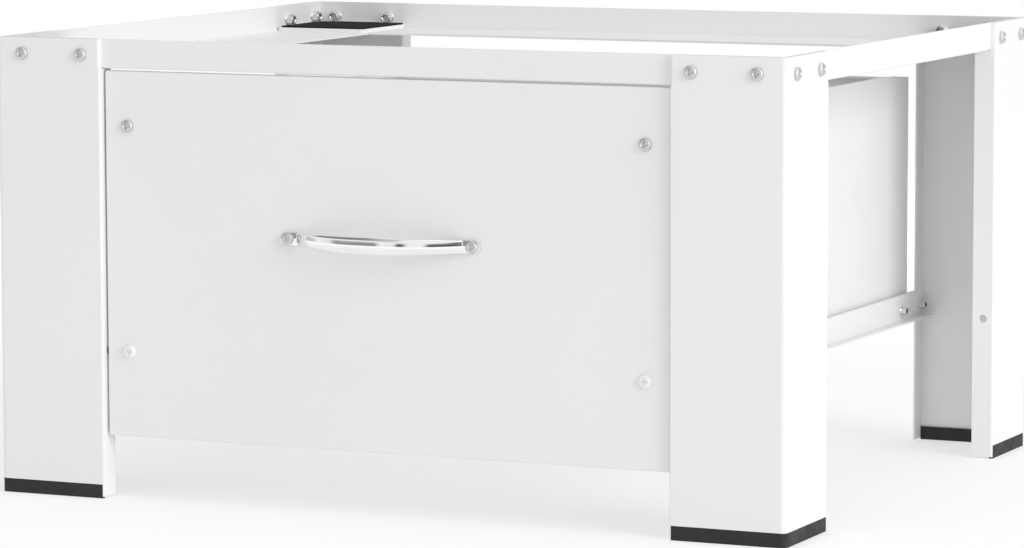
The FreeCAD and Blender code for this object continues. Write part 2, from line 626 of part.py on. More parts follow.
def make_drawer_side(label, side):
    """A drawer side: flanges at its front, back and bottom, a folded top edge that falls at the back."""
    body = new_body(label, f"{side} * side_face", "drawer_face", "drawer_floor")
    plan = new_sketch(body, "XY", f"{label}_plan")
    front = "front_gauge"
    inner_bend = "bend_radius - drawer_gauge"
    outline(plan, from_corner([
        ("0", front, "bend_radius"),
        ("0", "drawer_length", "bend_radius"),
        ("side_rear_flange", "drawer_length"),
        ("side_rear_flange", "drawer_length - drawer_gauge"),
        ("drawer_gauge", "drawer_length - drawer_gauge", inner_bend),
        ("drawer_gauge", f"{front} + drawer_gauge", inner_bend),
        ("side_front_flange", f"{front} + drawer_gauge"),
        ("side_front_flange", front),
    ], side, -1))
    pad(body, plan, "drawer_height")

    bottom_flange = new_sketch(body, "XY", f"{label}_bottom_flange")
    outline(bottom_flange, from_corner([
        ("drawer_gauge / 2", "front_gauge + bend_radius"),
        ("side_rear_flange", "front_gauge + drawer_gauge / 2"),
        ("side_rear_flange", "drawer_length - drawer_gauge / 2"),
        ("drawer_gauge / 2", "drawer_length - bend_radius"),
    ], side, -1))
    pad(body, bottom_flange, "drawer_gauge")

    hem = new_sketch(body, "XY", f"{label}_hem", "drawer_height - hem_height")
    hem_front = "front_gauge + 2 * bend_radius"
    hem_back = "drawer_length - drawer_gauge - back_flange - bend_radius"
    outline(hem, from_corner([
        ("drawer_gauge / 2", hem_front),
        ("2 * drawer_gauge", hem_front),
        ("2 * drawer_gauge", hem_back),
        ("drawer_gauge / 2", hem_back),
    ], side, -1))
    pad(body, hem, "hem_height")

    taper = new_sketch(body, "YZ", f"{label}_taper")
    outline(taper, [
        ("drawer_length - taper_length", "drawer_height"),
        ("drawer_length", "drawer_height - taper_drop"),
        ("drawer_length + 1", "drawer_height - taper_drop"),
        ("drawer_length + 1", "drawer_height + 1"),
        ("drawer_length - taper_length", "drawer_height + 1"),
    ])
    pocket(body, taper, "2 * (side_rear_flange + 1)")

    holes = new_sketch(body, "XZ", f"{label}_holes", "front_gauge + drawer_gauge / 2")
    for level in ("front_screw_high", "front_screw_low"):
        ring(holes, f"{side} * (front_screw_x - side_face)", f"{level} - drawer_floor", "large_hole")
    pocket(body, holes, "2 * drawer_gauge")
    pieces.append(body)


def make_drawer_back():
    """The back panel of the drawer, with a stiffening flange along its top."""
    label = "drawer_back"
    body = new_body(label, "0", "drawer_face", "drawer_floor + drawer_gauge")
    section = new_sketch(body, "YZ", f"{label}_section")
    back = "drawer_length - drawer_gauge"
    top = "drawer_height - taper_drop - drawer_gauge - sheet_clearance"
    outline(section, [
        (back, "0"),
        (back, top, "bend_radius"),
        (f"{back} - back_flange", top),
        (f"{back} - back_flange", f"{top} - drawer_gauge"),
        (f"{back} - drawer_gauge", f"{top} - drawer_gauge", "bend_radius - drawer_gauge"),
        (f"{back} - drawer_gauge", "0"),
    ])
    pad(body, section, "2 * (side_face - 2 * drawer_gauge - sheet_clearance)", both_ways=True)
    pieces.append(body)


def make_drawer_bottom():
    """The drawer's floor, laid on the flanges of the sides, with upturned edges at the front and back."""
    label = "drawer_bottom"
    body = new_body(label, "0", "drawer_face", "drawer_floor + drawer_gauge")
    wide = "side_face - drawer_gauge - sheet_clearance"
    narrow = "side_face - side_front_flange - bend_radius"
    front_edge = "front_gauge + drawer_gauge + sheet_clearance"
    back_edge = "drawer_length - 2 * drawer_gauge - sheet_clearance"
    plate = new_sketch(body, "XY", f"{label}_plate")
    outline(plate, [
        (f"-({narrow})", "front_gauge"),
        (narrow, "front_gauge"),
        (narrow, front_edge),
        (wide, front_edge),
        (wide, back_edge),
        (f"-({wide})", back_edge),
        (f"-({wide})", front_edge),
        (f"-({narrow})", front_edge),
    ])
    pad(body, plate, "drawer_gauge")
    lips = new_sketch(body, "XY", f"{label}_lips")
    rectangle(lips, f"-({narrow})", "front_gauge", narrow, "front_gauge + drawer_gauge")
    rectangle(lips, f"-({wide})", f"{back_edge} - drawer_gauge", wide, back_edge)
    pad(body, lips, "drawer_lip")
    pieces.append(body)


def make_handle():
    """A flat bar bent into a bow, with a round-ended tab at each screw."""
    label = "handle"
    body = new_body(label, "0", "drawer_face", "handle_level")
    half_thickness = "handle_thickness / 2"
    bow_radius = f"(handle_radius - {half_thickness})"
    bend_radius = f"(handle_bend + {half_thickness})"
    bow_middle = "(handle_radius - handle_reach)"
    bend_middle_y = f"-({half_thickness} + {bend_radius})"
    bend_middle_x = f"sqrt(({bow_radius} + {bend_radius})^2 - ({bow_middle} - {bend_middle_y})^2)"
    share = f"({bow_radius} / ({bow_radius} + {bend_radius}))"
    meet_x = f"{bend_middle_x} * {share}"
    meet_y = f"({bow_middle} + ({bend_middle_y} - {bow_middle}) * {share})"

    route = new_sketch(body, "XY", f"{label}_route")
    stops = [
        ("-handle_screw_x", f"-{half_thickness}"),
        (f"-{bend_middle_x}", f"-{half_thickness}"),
        (f"-{meet_x}", meet_y),
        (meet_x, meet_y),
        (bend_middle_x, f"-{half_thickness}"),
        ("handle_screw_x", f"-{half_thickness}"),
    ]
    arcs = {
        1: ((f"-{bend_middle_x}", bend_middle_y), bend_radius),
        2: (("0", bow_middle), bow_radius),
        3: ((bend_middle_x, bend_middle_y), bend_radius),
    }
    runs = []
    for number in range(len(stops) - 1):
        start, end = spot_of(stops[number]), spot_of(stops[number + 1])
        if number in arcs:
            middle, radius = arcs[number]
            runs.append(add_arc(route, start, end, spot_of(middle), radius))
        else:
            runs.append((route.addGeometry(Part.LineSegment(start, end)), (1, 2)))
    for number, (edge, (first, last)) in enumerate(runs):
        hold(route, edge, first, *stops[number])
        if number + 1 < len(runs):
            following, (following_first, _) = runs[number + 1]
            route.addConstraint(Sketcher.Constraint("Coincident", edge, last, following, following_first))
        else:
            hold(route, edge, last, *stops[-1])

    section = new_sketch(body, "YZ", f"{label}_section", "-handle_screw_x")
    outline(section, [
        ("0", "-handle_height / 2"),
        ("0", "handle_height / 2"),
        ("-handle_thickness", "handle_height / 2", "handle_rounding"),
        ("-handle_thickness", "-handle_height / 2", "handle_rounding"),
    ])
    document.recompute()
    bow = body.newObject("PartDesign::AdditivePipe", f"{label}_bow")
    bow.Profile = section
    bow.Spine = (route, [])

    for name, side in SIDES:
        tab = new_sketch(body, "YZ", f"{label}_{name}_tab", f"{side} * handle_screw_x")
        outline(tab, [
            ("0", "0"),
            ("-handle_thickness", "0"),
            ("-handle_thickness", "handle_height / 2", "handle_rounding"),
            ("0", "handle_height / 2"),
        ])
        document.recompute()
        round_end = body.newObject("PartDesign::Revolution", f"{label}_{name}_round_end")
        round_end.Profile = tab
        round_end.ReferenceAxis = (tab, ["H_Axis"])
        round_end.Angle = 360

    holes = new_sketch(body, "XZ", f"{label}_holes", f"-{half_thickness}")
    for _, side in SIDES:
        ring(holes, f"{side} * handle_screw_x", "0", "small_hole")
    pocket(body, holes, "2 * handle_thickness")
    pieces.append(body)


# Fasteners. One body is drawn per kind, with its seat at z = 0, and linked to every place that it is used.

def make_screw(name, thread, head, head_height, length, rounding):
    """A screw whose head stands on z = 0, with a cross recess, and whose shank points down."""
    body = new_body(name)
    section = new_sketch(body, "XZ", f"{name}_section")
    outline(section, [
        ("0", head_height),
        (f"{head} / 2", head_height, rounding),
        (f"{head} / 2", "0"),
        (f"{thread} / 2", "0"),
        (f"{thread} / 2", f"-({length}) + {thread} / 10"),
        (f"{thread} * 0.4", f"-({length})"),
        ("0", f"-({length})"),
    ])
    document.recompute()
    turned = body.newObject("PartDesign::Revolution", f"{name}_turned")
    turned.Profile = section
    turned.ReferenceAxis = (section, ["V_Axis"])
    turned.Angle = 360
    recess = new_sketch(body, "XY", f"{name}_recess", head_height)
    arm = f"{head} * 0.27"
    half = f"{head} * 0.065"
    outline(recess, [
        (arm, f"-{half}"), (arm, half), (half, half), (half, arm), (f"-{half}", arm), (f"-{half}", half),
        (f"-{arm}", half), (f"-{arm}", f"-{half}"), (f"-{half}", f"-{half}"), (f"-{half}", f"-{arm}"),
        (half, f"-{arm}"), (half, f"-{half}"),
    ])
    pocket(body, recess, f"{head_height} * 0.7", both_ways=False)
    return body


def make_nut(name, thread, across_flats, height, spread="nut_flange_spread"):
    """A flange nut that stands on z = 0."""
    body = new_body(name)
    hexagon = new_sketch(body, "XY", f"{name}_hexagon")
    radius = f"({across_flats} / 2 / cos(30))"
    outline(hexagon, [(f"{radius} * cos({60 * corner})", f"{radius} * sin({60 * corner})") for corner in range(6)])
    pad(body, hexagon, height)
    flange = new_sketch(body, "XY", f"{name}_flange")
    ring(flange, "0", "0", f"({across_flats} + 2 * {spread})")
    pad(body, flange, "nut_flange")
    bore = new_sketch(body, "XY", f"{name}_bore")
    ring(bore, "0", "0", f"({thread} + 2 * thread_clearance)")
    pocket(body, bore, f"3 * {height}")
    return body


def place_group(label, master, places):
    """Link a fastener to every place: across, along and up formulas, and the way its head or top looks."""
    links = []
    for number, (across, along, up, way) in enumerate(places, start=1):
        link = document.addObject("App::Link", f"{label}_{number}")
        link.LinkedObject = master
        link.LinkTransform = False
        link.Placement = FreeCAD.Placement(Vector(), FreeCAD.Rotation(Vector(0, 0, 1), Vector(*way)))
        link.setExpression("Placement.Base.x", bound(across))
        link.setExpression("Placement.Base.y", bound(along))
        link.setExpression("Placement.Base.z", bound(up))
        links.append(link)
    group = document.addObject("Part::Compound", label)
    group.Label = label
    group.Links = links
    pieces.append(group)


def leg_fastener_places(depth, outwards):
    """The 16 leg screw axes, at a depth inside the outer faces, looking outwards (1) or inwards (-1)."""
    places = []
    for _, side in SIDES:
        for _, end in ENDS:
            for screw in SCREWS:
                places.append((f"{side} * (half_width - {leg_screw(end, 'face', screw)})",
                               f"frame_middle + {end} * (half_depth - ({depth}))",
                               "screw_level", (0, outwards * end, 0)))
                places.append((f"{side} * (half_width - ({depth}))",
                               f"frame_middle + {end} * (half_depth - {leg_screw(end, 'side', screw)})",
                               "screw_level", (outwards * side, 0, 0)))
    return places


def runner_fastener_places(distance, outwards):
    """The 8 runner bolt axes, at a distance from the middle, looking outwards (1) or inwards (-1)."""
    return [(f"{side} * ({distance})", f"frame_middle + {end} * (half_depth - {inset})",
             "return_hole_height", (outwards * side, 0, 0))
            for _, side in SIDES
            for _, end in ENDS
            for inset in ("outer_bolt_inset", "inner_bolt_inset")]


def front_fastener_places(depth, backwards):
    """The 4 drawer front screw axes, at a depth behind the face, looking backwards (1) or forwards (-1)."""
    return [(f"{side} * front_screw_x", f"drawer_face + {depth}", level, (0, backwards, 0))
            for _, side in SIDES
            for level in ("front_screw_high", "front_screw_low")]


def handle_fastener_places(depth, backwards):
    """The 2 handle screw axes, at a depth behind the drawer's face, looking backwards (1) or forwards (-1)."""
    return [(f"{side} * handle_screw_x", f"drawer_face + {depth}", "handle_level", (0, backwards, 0))
            for _, side in SIDES]


def make_fasteners():
    """Every screw, bolt and nut."""
    large_dome = "large_head_height * 0.6"
    screw_of_leg = make_screw("leg_screw", "large_thread", "large_head", "large_head_height",
                              "nut_depth + leg_nut_height - leg_screw_end_drop", large_dome)
    runner_bolt = make_screw("runner_bolt", "small_thread", "small_head", "bolt_head_height",
                             "2 * frame_gauge + runner_nut_height + bolt_end", "bolt_head_height * 0.6")
    nut_of_leg = make_nut("leg_flange_nut", "large_thread", "large_nut", "leg_nut_height")
    large_nut = make_nut("large_flange_nut", "large_thread", "large_nut", "large_nut_height")
    runner_nut = make_nut("runner_flange_nut", "small_thread", "runner_nut", "runner_nut_height",
                          "runner_nut_spread")
    small_dome = "small_head_height * 0.6"
    front_screw = make_screw("front_screw", "large_thread", "large_head", "large_head_height",
                             "front_gauge + drawer_gauge + large_nut_height + thread_end", large_dome)
    handle_screw = make_screw("handle_screw", "small_thread", "small_head", "small_head_height",
                              "handle_thickness + front_gauge + small_nut_height + thread_end", small_dome)
    small_nut = make_nut("small_flange_nut", "small_thread", "small_nut", "small_nut_height")

    place_group("leg_screws", screw_of_leg, leg_fastener_places("0", 1))
    place_group("leg_nuts", nut_of_leg, leg_fastener_places("nut_depth", -1))
    place_group("runner_bolts", runner_bolt, runner_fastener_places("bay_half_width", -1))
    place_group("runner_nuts", runner_nut, runner_fastener_places("runner_face + frame_gauge", 1))
    place_group("drawer_front_screws", front_screw, front_fastener_places("0", -1))
    place_group("drawer_front_nuts", large_nut, front_fastener_places("front_gauge + drawer_gauge", 1))
    place_group("handle_screws", handle_screw, handle_fastener_places("-handle_thickness", -1))
    place_group("handle_nuts", small_nut, handle_fastener_places("front_gauge", 1))


for end_name, end_sign in ENDS:
    for side_name, side_sign in SIDES:
        corner_name = f"{end_name}_{side_name}"
        make_leg(f"leg_{corner_name}", side_sign, end_sign)
        make_foot(f"foot_{corner_name}", side_sign, end_sign)
        make_corner_plate(f"corner_plate_{corner_name}", side_sign, end_sign)
        make_corner_pad(f"corner_pad_{corner_name}", side_sign, end_sign)
    make_cross_rail(f"rail_{end_name}", end_sign)
for side_name, side_sign in SIDES:
    make_side_rail(f"rail_{side_name}", side_sign)
    make_runner(f"runner_{side_name}", side_sign)
    make_slide_rail(f"slide_rail_{side_name}", side_sign)
    make_drawer_side(f"drawer_side_{side_name}", side_sign)
make_drawer_front()
make_drawer_back()
make_drawer_bottom()
make_handle()
make_fasteners()
document.recompute()

# Nothing is written unless every object is sound.
for item in document.Objects:
    if "Invalid" in item.State or "Error" in item.State:
        raise ValueError(f"{item.Label} failed to build: {item.State}")
for piece in pieces:
    if piece.Shape.isNull() or not piece.Shape.isValid():
        raise ValueError(f"{piece.Label} has no valid shape")

os.makedirs("parts", exist_ok=True)
for piece in pieces:
    piece.Shape.exportStep(f"parts/{piece.Label}.step")
    box = piece.Shape.BoundBox
    print(f"{piece.Label:26} solids {len(piece.Shape.Solids):2}  volume {piece.Shape.Volume:10.1f}"
          f"  x {box.XMin:8.2f} {box.XMax:8.2f}  y {box.YMin:8.2f} {box.YMax:8.2f}"
          f"  z {box.ZMin:7.2f} {box.ZMax:7.2f}")
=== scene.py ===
# %% [markdown]
# # A washer pedestal with a drawer
#
# This lesson dresses a finished engineering model in Blender. The steel frame, the drawer and every screw
# already stand at their real size, in metres, with X to the right, Y to the back and Z up. We never move
# them. We give each one the finish it has on a real laundry stand, model the few things that want a
# finer mesh than an engineering file gives, and then light the whole and point a camera at it.

# %% Load the frame
import json
import math

import bmesh
import bpy
from mathutils import Matrix, Vector


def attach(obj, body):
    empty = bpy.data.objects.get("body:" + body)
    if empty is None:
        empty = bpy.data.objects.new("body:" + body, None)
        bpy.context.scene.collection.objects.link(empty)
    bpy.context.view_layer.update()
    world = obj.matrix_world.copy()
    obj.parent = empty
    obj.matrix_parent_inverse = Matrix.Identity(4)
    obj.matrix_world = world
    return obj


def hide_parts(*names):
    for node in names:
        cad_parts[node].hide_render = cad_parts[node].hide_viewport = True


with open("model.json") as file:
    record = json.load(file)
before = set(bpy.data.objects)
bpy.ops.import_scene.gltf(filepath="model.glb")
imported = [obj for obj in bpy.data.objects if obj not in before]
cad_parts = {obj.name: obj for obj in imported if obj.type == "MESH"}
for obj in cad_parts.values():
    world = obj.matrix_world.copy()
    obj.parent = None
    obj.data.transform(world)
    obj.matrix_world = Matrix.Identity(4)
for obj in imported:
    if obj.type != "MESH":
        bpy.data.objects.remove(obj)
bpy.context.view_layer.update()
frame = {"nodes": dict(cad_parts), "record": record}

nodes = frame["nodes"]
print("pieces in the frame:", len(nodes))

# %% [markdown]
# ## A helper for finishes
#
# A finish in Blender is a small graph of nodes. Most of ours share the same skeleton: one Principled
# shader, some noise that makes the colour and the gloss uneven, and finer noise that tilts the surface a
# little. The noise reads object coordinates, which are metres here, so a grain of half a millimetre can be
# asked for as such. We write the skeleton once.

# %% A helper that starts a finish
def start_finish(name):
    """Make an empty material; return it with its node tree and its Principled shader."""
    material = bpy.data.materials.new(name)
    material.use_nodes = True
    tree = material.node_tree
    shader = tree.nodes["Principled BSDF"]
    return material, tree, shader


def grey(value):
    """A neutral colour."""
    return (value, value, value)


def add_noise(tree, grain, detail=2.0, roughness=0.5, stretch=(1.0, 1.0, 1.0)):
    """Noise whose blobs are about `grain` metres across, read in object coordinates."""
    place = tree.nodes.new("ShaderNodeTexCoord")
    scale = tree.nodes.new("ShaderNodeMapping")
    scale.inputs["Scale"].default_value = stretch
    noise = tree.nodes.new("ShaderNodeTexNoise")
    noise.inputs["Scale"].default_value = 1.0 / grain
    noise.inputs["Detail"].default_value = detail
    noise.inputs["Roughness"].default_value = roughness
    tree.links.new(place.outputs["Object"], scale.inputs["Vector"])
    tree.links.new(scale.outputs["Vector"], noise.inputs["Vector"])
    return noise.outputs["Fac"]


def add_range(tree, value, low, high, start=0.3, end=0.7):
    """Stretch a value that runs from start to end, so that it runs from low to high."""
    span = tree.nodes.new("ShaderNodeMapRange")
    span.inputs["From Min"].default_value = start
    span.inputs["From Max"].default_value = end
    span.inputs["To Min"].default_value = low
    span.inputs["To Max"].default_value = high
    tree.links.new(value, span.inputs["Value"])
    return span.outputs["Result"]


def add_two_tones(tree, value, first, second):
    """Blend between two colours by a noise value."""
    ramp = tree.nodes.new("ShaderNodeValToRGB")
    ramp.color_ramp.elements[0].position = 0.3
    ramp.color_ramp.elements[0].color = (*first, 1.0)
    ramp.color_ramp.elements[1].position = 0.7
    ramp.color_ramp.elements[1].color = (*second, 1.0)
    tree.links.new(value, ramp.inputs["Fac"])
    return ramp.outputs["Color"]


def add_sum(tree, first, second):
    """Add two values."""
    total = tree.nodes.new("ShaderNodeMath")
    total.operation = "ADD"
    tree.links.new(first, total.inputs[0])
    tree.links.new(second, total.inputs[1])
    return total.outputs[0]


def add_bump(tree, shader, value, height, strength=1.0, beneath=None):
    """Tilt the surface as if the noise stood `height` metres tall; stack it on another bump if given."""
    bump = tree.nodes.new("ShaderNodeBump")
    bump.inputs["Distance"].default_value = height
    bump.inputs["Strength"].default_value = strength
    tree.links.new(value, bump.inputs["Height"])
    if beneath:
        tree.links.new(beneath, bump.inputs["Normal"])
    tree.links.new(bump.outputs["Normal"], shader.inputs["Normal"])
    return bump.outputs["Normal"]


# %% [markdown]
# ## Finding the edges
#
# Handling and shipping wear a coat along its edges first, and a sprayed coat is thinnest there. To treat
# edges differently the shader has to know where they are. We could paint a mask by hand, but Blender has
# a node that rounds the shading near an edge. Where the rounded direction and the true one part, an edge
# is near, so the difference of the two is our mask.

# %% A mask of the edges
def add_edges(tree, reach):
    """A value that is 0 on open faces and 1 within about `reach` metres of an edge."""
    rounded = tree.nodes.new("ShaderNodeBevel")
    rounded.samples = 4
    rounded.inputs["Radius"].default_value = reach
    true = tree.nodes.new("ShaderNodeNewGeometry")
    match = tree.nodes.new("ShaderNodeVectorMath")
    match.operation = "DOT_PRODUCT"
    tree.links.new(rounded.outputs["Normal"], match.inputs[0])
    tree.links.new(true.outputs["Normal"], match.inputs[1])
    return add_range(tree, match.outputs["Value"], 1.0, 0.0, start=0.8, end=0.99)


def blend_towards(tree, colour, mask, other):
    """Blend a colour towards another one where a mask is 1."""
    blend = tree.nodes.new("ShaderNodeMix")
    blend.data_type = "RGBA"
    sockets = [socket for socket in blend.inputs if socket.type == "RGBA"]
    sockets[1].default_value = (*other, 1.0)
    tree.links.new(mask, blend.inputs["Factor"])
    tree.links.new(colour, sockets[0])
    return next(socket for socket in blend.outputs if socket.type == "RGBA")


# %% [markdown]
# ## White powder coat
#
# The sheet metal is sprayed with dry white powder and baked. The powder melts into a skin of about a
# tenth of a millimetre that flows almost flat: close up it shows orange peel, a soft ripple a couple of
# millimetres across, and a much finer grain. A plain white shader would look like paper. We could also
# displace the mesh, but the ripple is only some hundredths of a millimetre deep, so a bump is the right
# size of tool. The gloss is satin and a little uneven, the coat is a shade duller along cut edges, and a few
# specks of dust sit baked into it.

# %% The powder coat
PAINT_LIGHT = grey(0.85)
PAINT_DARK = (0.832, 0.832, 0.834)
PAINT_EDGE = (0.77, 0.77, 0.775)
PAINT_SPECK = grey(0.5)


def make_powder_coat(name, light, dark, edge, dust):
    """A white satin skin with orange peel, a fine grain, specks and duller edges."""
    material, tree, shader = start_finish(name)
    cloud = add_noise(tree, grain=0.16, detail=3.0)
    speck = add_noise(tree, grain=0.0016, detail=1.0)
    speck = add_range(tree, speck, 0.0, 0.25, start=0.76, end=0.8)
    edges = add_edges(tree, reach=0.0006)
    colour = add_two_tones(tree, cloud, dark, light)
    colour = blend_towards(tree, colour, speck, dust)
    colour = blend_towards(tree, colour, add_range(tree, edges, 0.0, 0.6, 0.0, 1.0), edge)
    tree.links.new(colour, shader.inputs["Base Color"])
    satin = add_range(tree, add_noise(tree, grain=0.02, detail=2.0), 0.38, 0.48)
    dull = add_range(tree, edges, 0.0, 0.12, 0.0, 1.0)
    tree.links.new(add_sum(tree, satin, dull), shader.inputs["Roughness"])
    peel = add_noise(tree, grain=0.0022, detail=1.0)
    grain = add_noise(tree, grain=0.0005, detail=2.0)
    ripple = add_bump(tree, shader, peel, height=0.00004, strength=0.5)
    add_bump(tree, shader, grain, height=0.00001, strength=0.35, beneath=ripple)
    shader.inputs["Specular IOR Level"].default_value = 0.45
    return material


powder_coat = make_powder_coat("white_powder_coat", PAINT_LIGHT, PAINT_DARK, PAINT_EDGE, PAINT_SPECK)
print("powder coat nodes:", len(powder_coat.node_tree.nodes))

# %% [markdown]
# ## Black rubber
#
# The feet and the pads under the machine are moulded from dull black rubber. It is never truly black: the
# skin of the mould leaves a fine texture, and a trace of pale bloom sits on it, most along the edges. We
# mix two dark greys with a fine noise, keep the gloss low, and let a coarse bump break up the highlights.

# %% The rubber
def make_rubber(name, dark, bloom, edge, dull_from=0.5, shine=0.4):
    """Matt moulded rubber with a pebbled skin and a paler edge."""
    material, tree, shader = start_finish(name)
    speckle = add_noise(tree, grain=0.004, detail=6.0, roughness=0.7)
    edges = add_range(tree, add_edges(tree, reach=0.0007), 0.0, 0.7, 0.0, 1.0)
    colour = blend_towards(tree, add_two_tones(tree, speckle, dark, bloom), edges, edge)
    tree.links.new(colour, shader.inputs["Base Color"])
    dull = add_noise(tree, grain=0.01, detail=3.0)
    tree.links.new(add_range(tree, dull, dull_from, dull_from + 0.2), shader.inputs["Roughness"])
    pebbles = add_noise(tree, grain=0.0007, detail=2.0)
    add_bump(tree, shader, pebbles, height=0.00006, strength=0.6)
    shader.inputs["Specular IOR Level"].default_value = shine
    return material


foot_rubber = make_rubber("foot_rubber", dark=grey(0.014), bloom=grey(0.024), edge=grey(0.042))
pad_rubber = make_rubber("pad_rubber", dark=grey(0.010), bloom=grey(0.016), edge=grey(0.024),
                         dull_from=0.75, shine=0.08)
print("rubber finishes:", foot_rubber.name, pad_rubber.name)

# %% [markdown]
# ## Bright zinc, painted-shade black and chrome
#
# The screws and nuts are zinc plated. The screws' heads have a soft, slightly cloudy shine; the nuts were
# plated brighter. The short bolts that hold the rails of the drawer are near black, which paints the shade
# seen in the bores of their nuts. The handle is chrome plated over polished steel, so almost all of its look
# comes from what it mirrors. All of them are metallic shaders; they differ in how rough they are and in how
# much the noise may disturb them.

# %% The plated metals
PLATING_GRAIN = 0.0012


def make_plating(name, dark, light, worn, rough, grain=PLATING_GRAIN):
    """Clouded plating, a little brighter where handling has polished its edges."""
    material, tree, shader = start_finish(name)
    shader.inputs["Metallic"].default_value = 1.0
    cloud = add_noise(tree, grain=grain, detail=4.0, roughness=0.6)
    edges = add_range(tree, add_edges(tree, reach=0.0003), 0.0, 0.6, 0.0, 1.0)
    colour = blend_towards(tree, add_two_tones(tree, cloud, dark, light), edges, worn)
    tree.links.new(colour, shader.inputs["Base Color"])
    shine = add_noise(tree, grain=grain / 2, detail=2.0)
    tree.links.new(add_range(tree, shine, rough, rough + 0.12), shader.inputs["Roughness"])
    add_bump(tree, shader, shine, height=0.00001, strength=0.4)
    return material


def make_chrome(name):
    """Polished chrome: a faint haze, hairline scratches along the bar and a slow ripple."""
    material, tree, shader = start_finish(name)
    shader.inputs["Metallic"].default_value = 1.0
    tint = add_two_tones(tree, add_noise(tree, grain=0.03, detail=1.0), (0.84, 0.845, 0.85), grey(0.88))
    tree.links.new(tint, shader.inputs["Base Color"])
    haze = add_noise(tree, grain=0.004, detail=3.0)
    tree.links.new(add_range(tree, haze, 0.05, 0.09), shader.inputs["Roughness"])
    slow = add_noise(tree, grain=0.014, detail=1.0)
    ripple = add_bump(tree, shader, slow, height=0.00025, strength=0.5)
    hairlines = add_noise(tree, grain=0.0004, detail=2.0, stretch=(0.04, 0.1, 1.0))
    add_bump(tree, shader, hairlines, height=0.000004, strength=0.3, beneath=ripple)
    return material


zinc = make_plating("cloudy_zinc", dark=(0.6, 0.605, 0.61), light=grey(0.68), worn=grey(0.72), rough=0.38)
nut_zinc = make_plating("bright_zinc", dark=(0.72, 0.725, 0.73), light=grey(0.84), worn=grey(0.9), rough=0.16)
# The rail bolts are near black to paint the shade seen in the bores of their nuts.
painted_shade_black = make_plating("painted_shade_black", dark=grey(0.02), light=grey(0.035), worn=grey(0.08), rough=0.4)
chrome = make_chrome("polished_chrome")
print("metals:", zinc.name, nut_zinc.name, painted_shade_black.name, chrome.name)

# %% [markdown]
# ## Dress the pieces
#
# Every piece of the frame names the material slot of the record that it belongs to. That is the natural
# place to hang a finish: one line per slot dresses all the pieces that share it.

# %% Give each piece its finish
finishes = {
    "painted_sheet": powder_coat,
    "foot_rubber": foot_rubber,
    "pad_rubber": pad_rubber,
    "zinc_steel": zinc,
    "black_steel": painted_shade_black,
    "handle_chrome": chrome,
}
slot_of = {entry["node"]: entry["material_slot"] for entry in frame["record"]["subparts"]}
for node_name, node in nodes.items():
    node.data.materials.clear()
    node.data.materials.append(finishes[slot_of[node_name]])
    print(f"{node_name:26} {slot_of[node_name]:14} {len(node.data.polygons):6} faces")

# %% [markdown]
# ## A helper that stands for a piece
#
# The small hardware has more to show than an engineering file carries: threads, chamfers, the slope inside
# a cross recess. For each such node we build a finer mesh and let it stand for the node. The new piece
# rides on the same body, so it moves when the drawer does.

# %% A helper for new pieces
def make_piece(name, points, faces, body, node, sharp=30.0, finish=None):
    """Turn points and faces into a smooth-shaded object that stands for one node."""
    mesh = bpy.data.meshes.new(name)
    mesh.from_pydata([tuple(point) for point in points], [], faces)
    mesh.validate()
    mesh.shade_smooth()
    mesh.set_sharp_from_angle(angle=math.radians(sharp))
    mesh.materials.append(finish or finishes[slot_of[node]])
    piece = bpy.data.objects.new(name, mesh)
    bpy.context.scene.collection.objects.link(piece)
    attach(piece, body)
    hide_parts(node)
    print(f"{name:26} {len(mesh.vertices):6} points {len(mesh.polygons):6} faces")
    return piece


def join_rings(ring_count, around, closed=False):
    """Quads between rings of points that follow each other."""
    faces = []
    for ring in range(ring_count if closed else ring_count - 1):
        here, there = ring * around, (ring + 1) % ring_count * around
        for step in range(around):
            turn = (step + 1) % around
            faces.append((here + step, here + turn, there + turn, there + step))
    return faces


def copy_to(points, faces, places):
    """Repeat a small mesh at several places, given as matrices."""
    all_points, all_faces = [], []
    for place in places:
        start = len(all_points)
        all_points.extend(place @ Vector(point) for point in points)
        all_faces.extend(tuple(corner + start for corner in face) for face in faces)
    return all_points, all_faces


def facing(spot, way):
    """The matrix that stands a fastener at a spot, with its head or top looking along `way`."""
    return Matrix.Translation(spot) @ Vector(way).to_track_quat("Z", "Y").to_matrix().to_4x4()


# %% [markdown]
# ## Screws
#
# A pan-head screw is a turned body with a rolled thread and a pressed cross. Turned shapes are easiest as
# rings of points around an axis. The thread is the same rings, with each point pushed in and out along a
# spiral. The cross slopes inwards, because the punch that made it had to come out again; we cut it from the
# head with a sloped cutter.

# %% The body of a screw
AROUND = 32
HEAD_RINGS = 8
CROWN_SHARE = 0.55
BROKEN_EDGE = 0.0001
PITCH = 0.0008
THREAD_RINGS = 6
THREAD_DEPTH = 0.00035
TIP_SLANT = 0.0005
SMALLEST_RING = 0.00002


